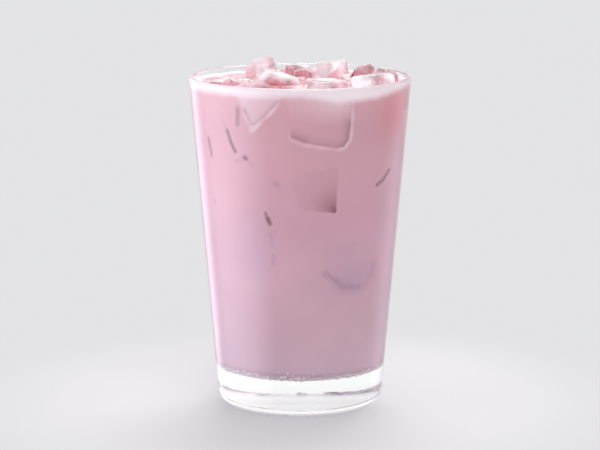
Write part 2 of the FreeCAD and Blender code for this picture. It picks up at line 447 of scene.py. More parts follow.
# The floating ice: each block's own solid, chipped and melted inwards.
iceShape = {
    "voxel": 0.33,
    "chips": 7,                 # on its edges, and again on its corners
    "edgeDepth": (0.3, 2.0),
    "cornerDepth": (0.6, 3.6),
    "topChip": 0.45,            # how deep a chip in the top is, against the rest
    "slow": 6.0,                # widths of the dimples and the finer wobble
    "fast": 2.2,
    "dimple": 0.2,
    "wobble": 0.1,
    "melt": 0.6,                # how much of both has melted away
    "sharp": (0.008, 0.032),    # the bends that count as an edge
}
iceBlocks = {
    # frosty and soaked shares, how many chips, and the larger breaks that give a
    # block its outline: a point that the break passes through, with its height
    # down from the block's top, and the way it faces
    "ice_1": {"frosty": 0.15, "chips": 2, "breaks": [
        ((-16.0, 0.0, 0.1), (-0.52, 0.0, 0.85)), ((-14.0, 0.0, 0.2), (0.58, -0.1, 0.8)),
        ((0.0, 14.0, 1.2), (-0.2, -0.86, 0.46))]},
    "ice_2": {"frosty": 0.3, "soaked": 0.3, "breaks": [
        ((-9.0, -7.0, 2.4), (0.1, -0.75, 0.66)), ((2.0, 3.0, 4.5), (0.5, 0.5, 0.7))]},
    "ice_3": {"soaked": 0.9, "breaks": [
        ((2.5, 18.0, 0.6), (0.35, -0.7, 0.62)), ((-5.5, 24.0, 0.6), (-0.6, 0.1, 0.8))]},
    "ice_4": {"frosty": 0.15, "breaks": [
        ((7.0, 13.5, 0.8), (-0.45, -0.6, 0.66)), ((16.0, 12.0, 3.2), (0.2, -0.8, 0.56))]},
    "ice_5": {"soaked": 0.8, "breaks": [
        ((23.5, 14.0, 0.9), (-0.6, -0.45, 0.66)), ((30.0, 17.0, 1.2), (0.75, 0.0, 0.66))]},
    "ice_6": {"frosty": 0.3, "soaked": 0.5, "breaks": [
        ((36.0, 5.0, 1.0), (0.6, -0.45, 0.66)), ((30.0, 4.0, 0.7), (-0.3, -0.75, 0.6))]},
    "ice_7": {"frosty": 0.45, "breaks": [
        ((24.0, -13.0, 1.3), (-0.15, -0.7, 0.7)), ((34.5, -10.0, 1.2), (0.6, -0.3, 0.74))]},
    "ice_8": {"frosty": 0.15, "soaked": 0.5, "breaks": [
        ((6.0, -31.0, 1.4), (-0.5, -0.5, 0.7)), ((16.0, -22.0, 0.7), (0.4, 0.3, 0.86))]},
    "ice_9": {"soaked": 0.8},
    "ice_10": {"soaked": 0.9},
}


def icePiece(name, material):
    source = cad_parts[name]
    block = iceBlocks.get(name, {})
    number = int(name[4:])
    piece = newPiece(name + "_melted", [], [])
    work = bmesh.new()
    work.from_mesh(source.data)
    bmesh.ops.remove_doubles(work, verts=work.verts, dist=1e-6)
    work.to_mesh(piece.data)
    work.free()
    remesh = piece.modifiers.new("even", "REMESH")
    remesh.mode = "VOXEL"
    remesh.voxel_size = iceShape["voxel"] * mm
    plainMesh(piece)
    chip(piece, block, blockAxes(source), np.random.default_rng(number))
    soften = piece.modifiers.new("soften", "SMOOTH")
    soften.factor = 0.5
    soften.iterations = 1
    plainMesh(piece)
    edges = sharpness(piece)
    melt(piece, Vector((number * 7.3, 1.7, 4.1)))
    # edge: broken edges, partly painted highlight
    giveValues(piece, "edge", edges)
    giveValues(piece, "soaked", block.get("soaked", 0.0))
    giveValues(piece, "frosty", block.get("frosty", 0.0))
    piece.data.materials.clear()
    piece.data.materials.append(material)
    piece.data.shade_smooth()
    return piece


def blockAxes(source):
    # the directions of a block's three pairs of faces
    faces = sorted(source.data.polygons, key=lambda face: -face.area)
    axes = []
    for face in faces:
        if all(abs(face.normal.dot(axis)) < 0.3 for axis in axes):
            axes.append(face.normal.normalized())
    return np.array(axes[:3])


def chip(piece, block, axes, chance):
    # flat flakes broken off the edges and corners, as a cracked cube has
    points = readVectors(piece, "co")
    centre = points.mean(0)
    for kind in ("edge", "corner"):
        low, high = iceShape[kind + "Depth"]
        for k in range(block.get("chips", iceShape["chips"])):
            signs = chance.choice((-1, 1), 3).astype(float)
            if kind == "edge":
                signs[chance.integers(3)] = chance.uniform(-0.2, 0.2)
            facing = (signs * chance.uniform(0.6, 1.2, 3)) @ axes
            facing /= np.linalg.norm(facing)
            facing[2] = abs(facing[2])
            along = (points - centre) @ facing
            less = 1 - (1 - iceShape["topChip"]) * smoothStep(0.45, 0.85, facing[2])
            depth = chance.uniform(low, high) * less
            points -= np.outer(np.maximum(along - along.max() + depth * mm, 0), facing)
    top = points[:, 2].max()
    for (x, y, down), facing in block.get("breaks", []):
        facing = np.array(facing) / np.linalg.norm(facing)
        through = np.array([x * mm, y * mm, top - down * mm])
        points -= np.outer(np.maximum((points - through) @ facing, 0), facing)
    piece.data.vertices.foreach_set("co", points.ravel())
    piece.data.update()


def sharpness(piece):
    # 1 on convex edges that don't face down, 0 on flats, in hollows and underneath: broken edges, and
    # painted highlight where light from above would catch them
    points = readVectors(piece, "co")
    normals = readVectors(piece, "normal")
    count = len(points)
    ends = np.empty(len(piece.data.edges) * 2, dtype=np.int64)
    piece.data.edges.foreach_get("vertices", ends)
    a, b = ends.reshape(-1, 2).T
    value = np.zeros(count)
    share = np.maximum(np.bincount(a, minlength=count) + np.bincount(b, minlength=count), 1)
    for axis in range(3):
        lean = points[b, axis] - points[a, axis]
        value -= normals[:, axis] * (np.bincount(a, lean, count) - np.bincount(b, lean, count)) / share
    value = smoothStep(*iceShape["sharp"], value / mm) * smoothStep(-0.5, 0.2, normals[:, 2])
    spread = (np.bincount(a, value[b], count) + np.bincount(b, value[a], count)) / share
    return np.clip(0.55 * value + 0.45 * spread, 0, 1)


def melt(piece, seed):
    # dimples and a fine wobble, only ever inwards
    s = iceShape
    normals = [v.normal.copy() for v in piece.data.vertices]
    for vertex, normal in zip(piece.data.vertices, normals):
        at = vertex.co / mm
        slow = noise.noise(at / s["slow"] + seed)
        fast = noise.noise(at / s["fast"] + seed)
        depth = s["dimple"] * (0.5 + 0.5 * slow) + s["wobble"] * (0.5 + 0.5 * fast)
        vertex.co -= normal * depth * s["melt"] * mm


# The drink fills the glass and reaches a little into the wall, so no gap shows.
drinkShape = {
    "columns": 360,
    "rings": 100,           # across the surface
    "longest": 1.6,         # between rings up the wall
    "intoWall": 0.15,
    "intoIce": 0.3,
    "meniscus": 1.1,        # how high the drink climbs the wall, and how far in from it
    "meniscusWide": 0.9,
    "climb": 0.5,           # the same round a block of ice
    "climbWide": 0.6,
    "ripple": 0.15,
    "rippleScale": 4.0,
    "underneath": 0.95,     # painted light: how much paler the flat bottom is painted, as if lit through the foot
    "wetFrom": 20.0,        # the open surface is nowhere further under the level
}


def drinkPiece(wallMaterial, topMaterial, blocks):
    s, d = glassSizes, drinkShape
    into = d["intoWall"]
    edge = level + d["meniscus"]
    wall = stepped(roundedCorners([
        (0, s["base"] - into, 0),
        (insideRadius(s["base"]) + into, s["base"] - into, s["floorRound"]),
        (insideRadius(edge) + into, edge, 0),
    ]), d["longest"])
    trees = [BVHTree.FromObject(block, bpy.context.evaluated_depsgraph_get()) for block in blocks]
    columns = d["columns"]
    rimRadius = wall[-1].x
    vertices = [(0, 0, wall[0].y * mm)]
    for point in wall[1:]:
        vertices += ringOf(columns, point.x, point.y)
    for ring in range(d["rings"] - 1, 0, -1):
        radius = rimRadius * ring / d["rings"]
        lift = d["meniscus"] * math.exp(-(rimRadius - radius) / d["meniscusWide"])
        for x, y, z in ringOf(columns, radius, level + lift):
            z += d["ripple"] * mm * noise.noise(Vector((x, y, 0.003)) / (d["rippleScale"] * mm))
            vertices.append((x, y, pocketHeight(trees, Vector((x, y, z)))))
    vertices.append((0, 0, pocketHeight(trees, Vector((0, 0, level * mm)))))
    faces = closedRings(len(wall) + d["rings"] - 2, columns)
    piece = newPiece("drink_in_glass", vertices, faces, wallMaterial)
    piece.data.materials.append(topMaterial)
    outwards(piece)
    # painted light underneath, pale as if lit through the foot, and wet where it is open to the air
    heights = readVectors(piece, "co")[:, 2] / mm
    giveValues(piece, "pale", d["underneath"] * smoothStep(s["base"] + 2.0, s["base"] + 0.1, heights))
    for face in piece.data.polygons:
        corners = [piece.data.vertices[i].co for i in face.vertices]
        high = min(at.z for at in corners) > (level - d["wetFrom"]) * mm
        outer = max(math.hypot(*at.xy) for at in corners)
        if high and outer < (insideRadius(face.center.z / mm) + into - 0.05) * mm:
            face.material_index = 1
    piece.data.shade_smooth()
    return piece


def pocketHeight(trees, point):
    # the surface climbs a little where it meets a block and goes down under it
    d = drinkShape
    z = point.z
    for tree in trees:
        near, normal, index, distance = tree.find_nearest(point)
        inside = (point - near).dot(normal) < 0
        if inside and distance > d["intoIce"] * mm:
            under = tree.ray_cast(point, Vector((0, 0, -1)))[0]
            if under is not None:
                return under.z + d["intoIce"] * mm
        if not inside:
            z += d["climb"] * mm * math.exp(-distance / (d["climbWide"] * mm))
    return z


# Ice under the surface shows only where it presses on the wall, painted on the drink: soft dark lines of
# painted shade at its edges with light lines of painted highlight beside them, and pale, mauve or grey
# faces between them, the grey ones painted shade. Corners and lines are (bearing, height). Strengths run
# from 0 to 1 and widths are in millimetres.
sunkBlocks = [
    # dark and light are a line's strengths, painted shade inside and painted highlight outside, by the
    # corner that it starts from, line is the light ones' width and width the dark ones'. Pale, mauve and
    # shade are the face's, shade being painted shade, At and Reach where it is strongest and how far.
    {"corners": [(-38, 132), (-31, 124.5), (-26.6, 117.4), (-12.5, 128), (-7, 132)],
     "dark": {1: 0.85, 2: 0.55}, "light": {1: 0.45, 2: 1.0}, "pale": 0.34, "paleFrom": (113, 122),
     "width": 1.1, "line": 0.8},
    {"corners": [(-7, 132), (-4.4, 114.8), (2, 112.9), (9, 111.6), (20.5, 110.3), (24.6, 110.8),
                 (27.2, 113.4), (27.8, 120), (28.2, 132)],
     "dark": {1: 0.42, 2: 0.24, 3: 0.26, 4: 0.36, 5: 0.44, 6: 0.44, 7: 0.12},
     "light": {1: 0.45, 2: 0.6, 3: 0.7, 4: 0.8, 5: 0.9, 6: 0.9, 7: 0.7},
     "pale": 0.54, "paleFrom": (117, 128), "paleAt": (20, 130), "paleReach": 10.0,
     "width": 2.3, "line": 0.8},
    {"corners": [(-8, 100), (0, 86.2), (20.6, 84), (21.6, 85.2), (21.6, 103)],
     "shade": 1.05, "shadeAt": (21.2, 84.6), "shadeReach": 9.0, "soft": 1.0},
    {"corners": [(-41, 83), (-18, 84), (-15, 61), (-24, 56), (-40, 60)],
     "mauve": 0.18, "soft": 14.0},
    {"corners": [(13, 72), (16, 59), (24, 55.4), (34, 52.6), (46, 53.2), (54, 60), (54, 72)],
     "mauve": 0.5, "mauveAt": (34, 54), "mauveReach": 10.0, "soft": 3.5},
    {"corners": [(70, 122), (96, 120), (98, 104), (78, 101)],
     "dark": {2: 0.22, 3: 0.2}, "light": {2: 0.4}, "pale": 0.2, "paleFrom": (104, 121)},
    {"corners": [(112, 132), (116, 113), (141, 110), (143, 132)],
     "dark": {0: 0.18, 1: 0.28, 2: 0.2}, "light": {0: 0.4, 1: 0.5}, "pale": 0.3, "paleFrom": (120, 130)},
    {"corners": [(150, 104), (171, 101), (176, 88), (156, 84)],
     "dark": {2: 0.22, 3: 0.15}, "light": {2: 0.2},
     "shade": 0.6, "shadeAt": (157, 86), "shadeReach": 6.0},
    {"corners": [(184, 132), (188, 116), (213, 114), (216, 132)],
     "dark": {0: 0.15, 1: 0.28, 2: 0.2}, "light": {1: 0.5, 2: 0.4}, "pale": 0.35, "paleFrom": (119, 130)},
    {"corners": [(232, 86), (252, 88), (256, 70), (238, 64)],
     "dark": {1: 0.12, 2: 0.15}, "mauve": 0.2, "soft": 9.0},
    {"corners": [(240, 132), (246, 118), (263, 121), (268, 132)],
     "dark": {0: 0.2, 1: 0.24}, "light": {0: 0.4, 1: 0.4}, "pale": 0.3, "paleFrom": (120, 130)},
    {"corners": [(104, 78), (122, 82), (128, 66), (112, 60)],
     "dark": {1: 0.1, 2: 0.15}, "mauve": 0.2, "soft": 9.0},
]
sunkEdges = [
    # a block's edge just touching the wall, a line of painted shade with a faint painted highlight beside
    # it: points, width, dark, mauve, how broken
    ([(-34.6, 125.2), (-35.6, 119.2)], 1.0, 0.55, 0, 0.3),
    ([(-42.9, 116.2), (-41.2, 112.8), (-38.0, 108)], 0.9, 0.9, 0, 0.25),
    ([(-45.5, 119.5), (-43.2, 116.6)], 0.9, 0.16, 0, 0),
    ([(-59.4, 111.6), (-58.4, 108), (-57.8, 105.2)], 1.1, 0.75, 0, 0.4),
    ([(-20.3, 84.2), (-18.9, 82.0)], 0.6, 0.85, 0, 0),
    ([(-18.9, 82.2), (-17.9, 80.2)], 0.95, 1.0, 0, 0),
    ([(49.1, 93.8), (54.3, 95.2), (60.1, 98.9)], 0.95, 0.9, 0.1, 0.8),
    ([(-32.0, 105.9), (-31.4, 105.6)], 1.1, 0.85, 0.1, 0),
    ([(-38.5, 104.2), (-34, 104.7), (-31.7, 105.6), (-27.5, 103.2)], 0.8, 0.15, 0.1, 0),
    ([(-13.4, 96.3), (-12.8, 95.9)], 1.3, 0.16, 0.15, 0),
    ([(-59.4, 86.4), (-58.8, 86.0)], 0.8, 0.3, 0.2, 0),
    ([(15.6, 59.8), (18, 58.6), (21, 57.6), (24, 56)], 1.4, 0.3, 0.35, 0.85),
    ([(24, 56), (28, 53.9), (33.5, 53.1), (40, 53)], 1.7, 0.25, 0.45, 0.25),
    ([(40, 53), (45.6, 54.2), (50, 57), (52.4, 61.5)], 1.7, 0.12, 0.32, 0.4),
    ([(-18, 76), (-17.2, 71.5)], 0.8, 0.1, 0.3, 0.8),
    ([(-16.2, 67), (-16.6, 63.5)], 0.9, 0.14, 0.3, 0.7),
    ([(88, 92), (91, 86)], 0.7, 0.7, 0, 0),
    ([(131, 98), (134, 91.5)], 0.7, 0.6, 0, 0.4),
    ([(201, 101), (206, 97.5), (209, 96)], 0.7, 0.7, 0, 0.5),
    ([(222, 108), (220.5, 101)], 0.7, 0.6, 0, 0),
    ([(277, 104), (279, 97)], 0.7, 0.8, 0, 0),
    ([(165, 66), (170, 64.5)], 0.8, 0.6, 0, 0),
    ([(-92, 73), (-89, 69)], 0.7, 0.6, 0, 0),
    ([(96, 60), (102, 56), (110, 54.6), (117, 57)], 1.5, 0.2, 0.25, 0.6),
    ([(236, 63), (244, 59.4), (252, 60)], 1.5, 0.2, 0.25, 0.6),
]
sunkShape = {
    "frontStep": 0.42,      # between points round the front and the back, and up
    "backStep": 0.8,
    "rowStep": 0.45,
    "low": 45.0,
    "top": 130.6,
    "front": 68.0,          # bearing where the front's finer points end
    "proud": 0.015,         # how far it stands out of the drink's own skin
    "thick": 1.0,
    "faintest": 0.012,      # where every mark is fainter, there are no faces
    "litEdge": 0.52,        # how pale the painted highlight lines are
    "streakAt": (66, 123),  # a redder streak high on the right
    "streakReach": (13, 11),
    "streak": 0.95,
}


def toSegment(x, y, start, end):
    # how far off a run the points are, how far along it, and how far to its side
    sx, sy = start
    ex, ey = end[0] - sx, end[1] - sy
    length = math.hypot(ex, ey)
    along = ((x - sx) * ex + (y - sy) * ey) / length ** 2
    held = np.clip(along, 0, 1)
    away = np.hypot(x - sx - held * ex, y - sy - held * ey)
    return away, along * length, ((x - sx) * ey - (y - sy) * ex) / length


def flat(point, centre):
    # a place on the wall, laid out flat round one bearing
    return (math.radians(point[0] - centre) * insideRadius(point[1]), point[1])


def across(bearings, centre, radius):
    return np.radians((bearings - centre + 180) % 360 - 180) * radius


def strengthen(marks, name, values):
    marks[name] = np.maximum(marks[name], values)


def blockMarks(marks, block, bearings, heights, radius):
    corners = block["corners"]
    centre = sum(corner[0] for corner in corners) / len(corners)
    x, y = across(bearings, centre, radius), heights
    pairs = list(zip(corners, corners[1:] + corners[:1]))
    runs = [toSegment(x, y, flat(start, centre), flat(end, centre)) for start, end in pairs]
    turn = np.sign(sum(start[0] * end[1] - end[0] * start[1] for start, end in pairs))
    nearest = np.minimum.reduce([run[0] for run in runs])
    inside = np.minimum.reduce([-run[2] * turn for run in runs])
    width, soft, line = block.get("width", 0.6), block.get("soft", 1.2), block.get("line", 0.55)
    within = smoothStep(-soft / 2, soft / 2, np.where(inside > 0, nearest, -nearest))
    # painted shade: a dark line inside each edge
    for k, strength in block.get("dark", {}).items():
        depth = np.maximum(runs[k][0] - 0.15, 0) / width
        strengthen(marks, "dark", strength * np.exp(-depth ** 1.5) * smoothStep(-0.25, 0.15, inside))
    # painted highlight: a light line outside each edge, put into pale
    for k, strength in block.get("light", {}).items():
        away, along, side = runs[k]
        glint = sunkShape["litEdge"] * strength * np.exp(-((away - 0.8 * line) / line) ** 2)
        strengthen(marks, "pale",
                   glint * smoothStep(0.15, -0.2, inside) * (0.8 + 0.3 * np.sin(0.7 * along)))
    # the faces: pale and mauve, and shade, which is painted shade put into dark
    for face, mark in (("pale", "pale"), ("mauve", "mauve"), ("shade", "dark")):
        if face not in block:
            continue
        fade = 1
        if face + "At" in block:
            at = flat(block[face + "At"], centre)
            fade = np.exp(-np.hypot(x - at[0], (y - at[1]) * 0.8) / block[face + "Reach"])
        if face == "shade":
            fade = 0.7 * fade ** 2.4 + 0.3 * fade
        if face == "pale":
            fade = smoothStep(*block["paleFrom"], y) * fade
        strengthen(marks, mark, block[face] * within * fade)


def edgeMarks(marks, edge, bearings, heights, radius):
    points, width, strength, mauve, dashes = edge
    centre = points[0][0]
    x = across(bearings, centre, radius)
    nearest = np.minimum.reduce([toSegment(x, heights, flat(start, centre), flat(end, centre))[0]
                                 for start, end in zip(points, points[1:])])
    broken = 1 - dashes * (0.5 + 0.5 * np.cos(3.1 * x + 2.3 * heights)) ** 2
    # painted shade along the edge, then a faint painted highlight beside it
    strengthen(marks, "dark", strength * (broken * np.exp(-(nearest / width) ** 2)))
    strengthen(marks, "mauve", mauve * broken * np.exp(-(nearest / (1.6 * width)) ** 2))
    strengthen(marks, "pale", 0.08 * strength * np.exp(-((nearest - 1.6) / 0.6) ** 2))


def wallMarks(bearings, heights):
    # the four values at each point of the wall, dark with painted shade and pale partly with painted
    # highlight, with arcs laid out flat at the point's own radius, so that widths are true millimetres
    s = sunkShape
    radius = np.vectorize(insideRadius)(heights)
    # nothing melts along a straight line, so each mark is bent a little
    slow = 0.2 * np.sin(0.35 * heights + 2 * np.sin(bearings / 11))
    bearings = bearings + slow + 0.08 * np.sin(1.3 * heights + 1)
    slow = 0.14 * np.sin(bearings / 4.1 + 0.3 * heights)
    heights = heights + slow + 0.06 * np.sin(bearings / 1.4)
    marks = {name: np.zeros_like(heights) for name in ("dark", "pale", "mauve")}
    for block in sunkBlocks:
        blockMarks(marks, block, bearings, heights, radius)
    for edge in sunkEdges:
        edgeMarks(marks, edge, bearings, heights, radius)
    x = np.radians(bearings - s["streakAt"][0]) * radius / s["streakReach"][0]
    y = (heights - s["streakAt"][1]) / s["streakReach"][1]
    marks["salmon"] = s["streak"] * np.exp(-x ** 2 - y ** 2)
    return marks


# a thin sheet of drink just inside the wall that carries the marks of sunk ice, painted shade and painted
# highlight among them
def sunkIcePiece(material):
    s = sunkShape
    middle = insideRadius(100)
    front = round(math.radians(2 * s["front"]) * middle / s["frontStep"])
    back = round(math.radians(360 - 2 * s["front"]) * middle / s["backStep"])
    bearings = np.concatenate([
        np.linspace(-s["front"], s["front"], front, endpoint=False),
        np.linspace(s["front"], 360 - s["front"], back, endpoint=False)])
    heights = np.linspace(s["low"], s["top"], round((s["top"] - s["low"]) / s["rowStep"]))
    turns, ups = np.meshgrid(bearings, heights)
    marks = wallMarks(turns.ravel(), ups.ravel())
    effect = np.maximum.reduce(list(marks.values())).reshape(turns.shape)
    shown = effect > s["faintest"]
    cells = shown[:-1, :] | shown[1:, :]
    cells = cells | np.roll(cells, -1, 1)
    count = len(bearings)
    lift = s["proud"] * (2 * smoothStep(s["faintest"], 0.06, effect) - 1)
    proud = (drinkShape["intoWall"] + lift).ravel()
    deep = len(proud)
    vertices = []
    for shift in (proud, np.full(deep, drinkShape["intoWall"] - s["thick"])):
        vertices.extend(onWall(turn, insideRadius(z) + out, z)
                        for turn, z, out in zip(turns.ravel(), ups.ravel(), shift))
    faces = []
    for row, column in np.argwhere(cells):
        a, b = row * count + column, row * count + (column + 1) % count
        c, d = b + count, a + count
        faces.append((a, b, c, d))
        faces.append((a + deep, d + deep, c + deep, b + deep))
        sides = (((row - 1, column), (a, b)), ((row + 1, column), (c, d)),
                 ((row, (column + 1) % count), (b, c)), ((row, (column - 1) % count), (d, a)))
        for (r, k), (p, q) in sides:
            if not (0 <= r < cells.shape[0] and cells[r, k]):
                faces.append((q, p, p + deep, q + deep))
    piece = newPiece("sunk_ice", vertices, [tuple(int(i) for i in face) for face in faces], material)
    for name, values in marks.items():
        giveValues(piece, name, np.concatenate([values, values]))
    outwards(piece)
    piece.data.shade_smooth()
    return piece


# A creamy film of froth where the drink meets the wall, highest at the front; its whiteness is partly
# real froth and partly a painted highlight where the rim catches the light.
frothShape = {
    "columns": 480,
    "low": 125.5,
    "wallRows": 24,
    "topRows": 9,
    "frontTop": 133.3,
    "backTop": 131.3,
    "wide": 2.2,
    "intoWall": 0.18,
    "fadeSoft": (-2.2, 1.4),    # below and above where the whiteness ends
    # bearings, and how low the whiteness reaches down the wall there
    "reaches": [(-90, 131.2), (-50, 131.1), (-30, 130.7), (0, 131.2), (12, 130.2), (20, 128.8),
                (28, 129.0), (36, 129.3), (45, 129.5), (56, 130.7), (70, 132.0), (110, 131.0),
                (180, 130.6), (220, 131.2)],
}


def frothNoise(bearing, scale, seed):
    angle = math.radians(bearing)
    return noise.noise(Vector((math.cos(angle) * scale, math.sin(angle) * scale, seed)))


def frothTop(bearing):
    s = frothShape
    front = (0.5 + 0.5 * math.cos(math.radians(bearing))) ** 0.7
    return s["backTop"] + (s["frontTop"] - s["backTop"]) * front + 0.25 * frothNoise(bearing, 9, 1.5)


def frothWide(bearing):
    front = 0.75 + 0.4 * math.cos(math.radians(bearing))
    uneven = 1 + 0.6 * frothNoise(bearing, 3, 4.5) + 0.35 * frothNoise(bearing, 14, 8.5)
    return frothShape["wide"] * front * uneven


def frothFade(bearing):
    bearings, heights = zip(*frothShape["reaches"])
    low = float(np.interp(bearing, bearings, heights, period=360))
    return low + 0.35 * frothNoise(bearing, 5, 2.5) + 0.25 * frothNoise(bearing, 14, 6.5)


def frothPiece(material):
    # places are bearings and heights on the wall, with a height of 0 for points off it
    s = frothShape
    below, above = s["fadeSoft"]
    vertices, pale, places = [], [], []
    for k in range(s["columns"]):
        bearing = 360 * k / s["columns"]
        crest, wide, fade = frothTop(bearing), frothWide(bearing), frothFade(bearing)
        for row in range(s["wallRows"]):
            z = s["low"] + (crest - s["low"]) * row / (s["wallRows"] - 1)
            shift = s["intoWall"] - 0.05 * (1 - smoothStep(s["low"], s["low"] + 2.5, z))
            vertices.append(onWall(bearing, insideRadius(z) + shift, z))
            # the froth's white, partly painted highlight of the rim
            pale.append(smoothStep(fade + below, fade + above, z))
            places.append((bearing, z))
        # over the crest, and down to the surface
        for row in range(1, s["topRows"] + 1):
            share = row / s["topRows"]
            inwards = -s["intoWall"] + 0.5 + (wide + 0.5) * share ** 1.4
            z = level - 0.25 + (crest - level) * (1 - share) ** 2.2 + 0.35 * math.sin(math.pi * share)
            vertices.append(onWall(bearing, insideRadius(z) - inwards, z))
            pale.append(1 - 0.75 * share ** 2)
            places.append((bearing, 0))
        vertices.append(onWall(bearing, insideRadius(s["low"]) - 1.0, s["low"]))
        pale.append(0)
        places.append((bearing, s["low"]))
    ring = s["wallRows"] + s["topRows"] + 1
    faces = []
    for k in range(s["columns"]):
        a, b = k * ring, (k + 1) % s["columns"] * ring
        faces.extend((a + i, b + i, b + (i + 1) % ring, a + (i + 1) % ring) for i in range(ring))
    piece = newPiece("froth_ring", vertices, faces, material)
    bearings, heights = np.array(places).T
    for name, values in wallMarks(bearings, heights).items():
        values = np.where(heights > 0, values, 0)
        if name == "pale":
            values = 1 - (1 - values) * (1 - np.array(pale))
        giveValues(piece, name, values)
    return outwards(piece)


def scatterTree(name):
    # small rounded or broken bits, one at each point of the mesh it is given
    tree = bpy.data.node_groups.new(name, "GeometryNodeTree")
    add = partial(addNode, tree)
    for label, kind in (("Geometry", "Geometry"), ("smallest", "Float"), ("largest", "Float"),
                        ("flatness", "Float"), ("tumble", "Float"), ("brokenness", "Float"),
                        ("detail", "Int"), ("seed", "Int"), ("material", "Material")):
        tree.interface.new_socket(label, in_out="INPUT", socket_type="NodeSocket" + kind)
    tree.interface.new_socket("Geometry", in_out="OUTPUT", socket_type="NodeSocketGeometry")
    given = add("NodeGroupInput").outputs
    ball = add("GeometryNodeMeshIcoSphere", {"Radius": 1.0, "Subdivisions": given["detail"]})
    rough = add("ShaderNodeTexNoise", {"Scale": 0.9, "Detail": 0.0}, noise_dimensions="3D")
    push = add("ShaderNodeVectorMath", {0: rough.outputs["Color"], 1: (0.5, 0.5, 0.5)},
               operation="SUBTRACT")
    push = add("ShaderNodeVectorMath", {0: push, "Scale": given["brokenness"]}, operation="SCALE")
    shape = add("GeometryNodeSetPosition", {"Geometry": ball, "Offset": push})
    size = add("FunctionNodeRandomValue", {
        2: given["smallest"], 3: given["largest"], "Seed": given["seed"]}).outputs[1]
    low = add("ShaderNodeMath", {0: size, 1: given["flatness"]}, operation="MULTIPLY")
    scale = add("ShaderNodeCombineXYZ", {"X": size, "Y": size, "Z": low})
    spin = add("FunctionNodeRandomValue", {
        0: (0, 0, 0), 1: (6.28, 6.28, 6.28), "Seed": given["seed"]}, data_type="FLOAT_VECTOR")
    lean = add("ShaderNodeCombineXYZ", {"X": given["tumble"], "Y": given["tumble"], "Z": 1.0})
    turn = add("ShaderNodeVectorMath", {0: spin, 1: lean}, operation="MULTIPLY")
    placed = add("GeometryNodeInstanceOnPoints", {
        "Points": given["Geometry"], "Instance": shape, "Rotation": turn, "Scale": scale})
    real = add("GeometryNodeRealizeInstances", {"Geometry": placed})
    painted = add("GeometryNodeSetMaterial", {"Geometry": real, "Material": given["material"]})
    add("NodeGroupOutput", {"Geometry": painted})
    return tree


def scattered(name, look, places, tree, material):
    # look holds the tree's inputs, and places makes the points from a seeded chance
    piece = newPiece(name, places(look, np.random.default_rng(look["seed"])), [], smooth=False)
    modifier = piece.modifiers.new("scatter", "NODES")
    modifier.node_group = tree
    given = dict(look, material=material)
    given["smallest"] *= mm
    given["largest"] *= mm
    for socket in tree.interface.items_tree:
        if socket.name in given:
            modifier[socket.identifier] = given[socket.name]
    plainMesh(piece)
    piece.data.polygons.foreach_set("use_smooth", [look["smooth"]] * len(piece.data.polygons))
    for value, amount in look.get("values", {}).items():
        giveValues(piece, value, amount)
    return piece


# Bubbles in the froth, and beads where the drink meets the floor of the glass.
bubbleLook = {"count": 420, "smallest": 0.16, "largest": 0.42, "flatness": 1.0, "tumble": 1.0,
              "brokenness": 0.0, "detail": 2, "smooth": True, "seed": 11}
beadLook = dict(bubbleLook, count=340, smallest=0.2, largest=0.6, seed=23,
                reach=0.12,             # how far their middles are into the glass
                lean=(38, 13),          # where round the drink's lower edge, in degrees,
                leanWithin=(5, 85))     # how widely, and within what


def bubblePoints(look, chance):
    points = []
    for k in range(look["count"]):
        bearing = chance.uniform(0, 360)
        wide = frothWide(bearing)
        inwards = min(abs(chance.normal(0, 0.7)), 1.4) * wide + 0.35
        film = max(0, (frothTop(bearing) - level) * (1 - inwards / (wide + 0.5)))
        z = level - 0.05 + film ** 1.3 * 0.75
        points.append(onWall(bearing, insideRadius(z) - inwards, z))
    return points


def beadPoints(look, chance):
    s = glassSizes
    rounding = s["floorRound"]
    middle = insideRadius(s["base"] + rounding) - rounding
    reach = rounding + look["reach"]
    points = []
    for k in range(look["count"]):
        bearing = 360 * (k + chance.uniform(-0.4, 0.4)) / look["count"]
        turn = math.radians(np.clip(chance.normal(*look["lean"]), *look["leanWithin"]))
        height = s["base"] + rounding - reach * math.cos(turn)
        points.append(onWall(bearing, middle + reach * math.sin(turn), height))
    return points


# Loose broken ice: some afloat anywhere between the blocks, the rest in heaps.
shardLook = {
    "count": 110,
    "smallest": 0.7,
    "largest": 2.1,
    "flatness": 0.7,
    "tumble": 1.0,
    "brokenness": 1.6,
    "detail": 1,
    "smooth": False,
    "seed": 5,
    "within": 38.0,
    "depth": (0.3, 1.1),
    "inset": 3.0,           # how far in under a block's edge they may be
    "values": {"edge": 0.35, "soaked": 0.3, "frosty": 0.4},
    # across, back, spread, lift, how many
    "heaps": ((20.5, 13, 2.2, 2.6, 10), (26, 1, 3.0, 1.6, 10), (9, 4, 5.0, 0.9, 24), (-2, 10, 4, 1.2, 12),
              (-2, -22, 5, 0.5, 14), (24, -20, 5, 0.8, 14), (-18, 7, 4, 0.8, 10), (-27, 4, 5, 0.5, 14)),
    "heapsWithin": 37.5,
}


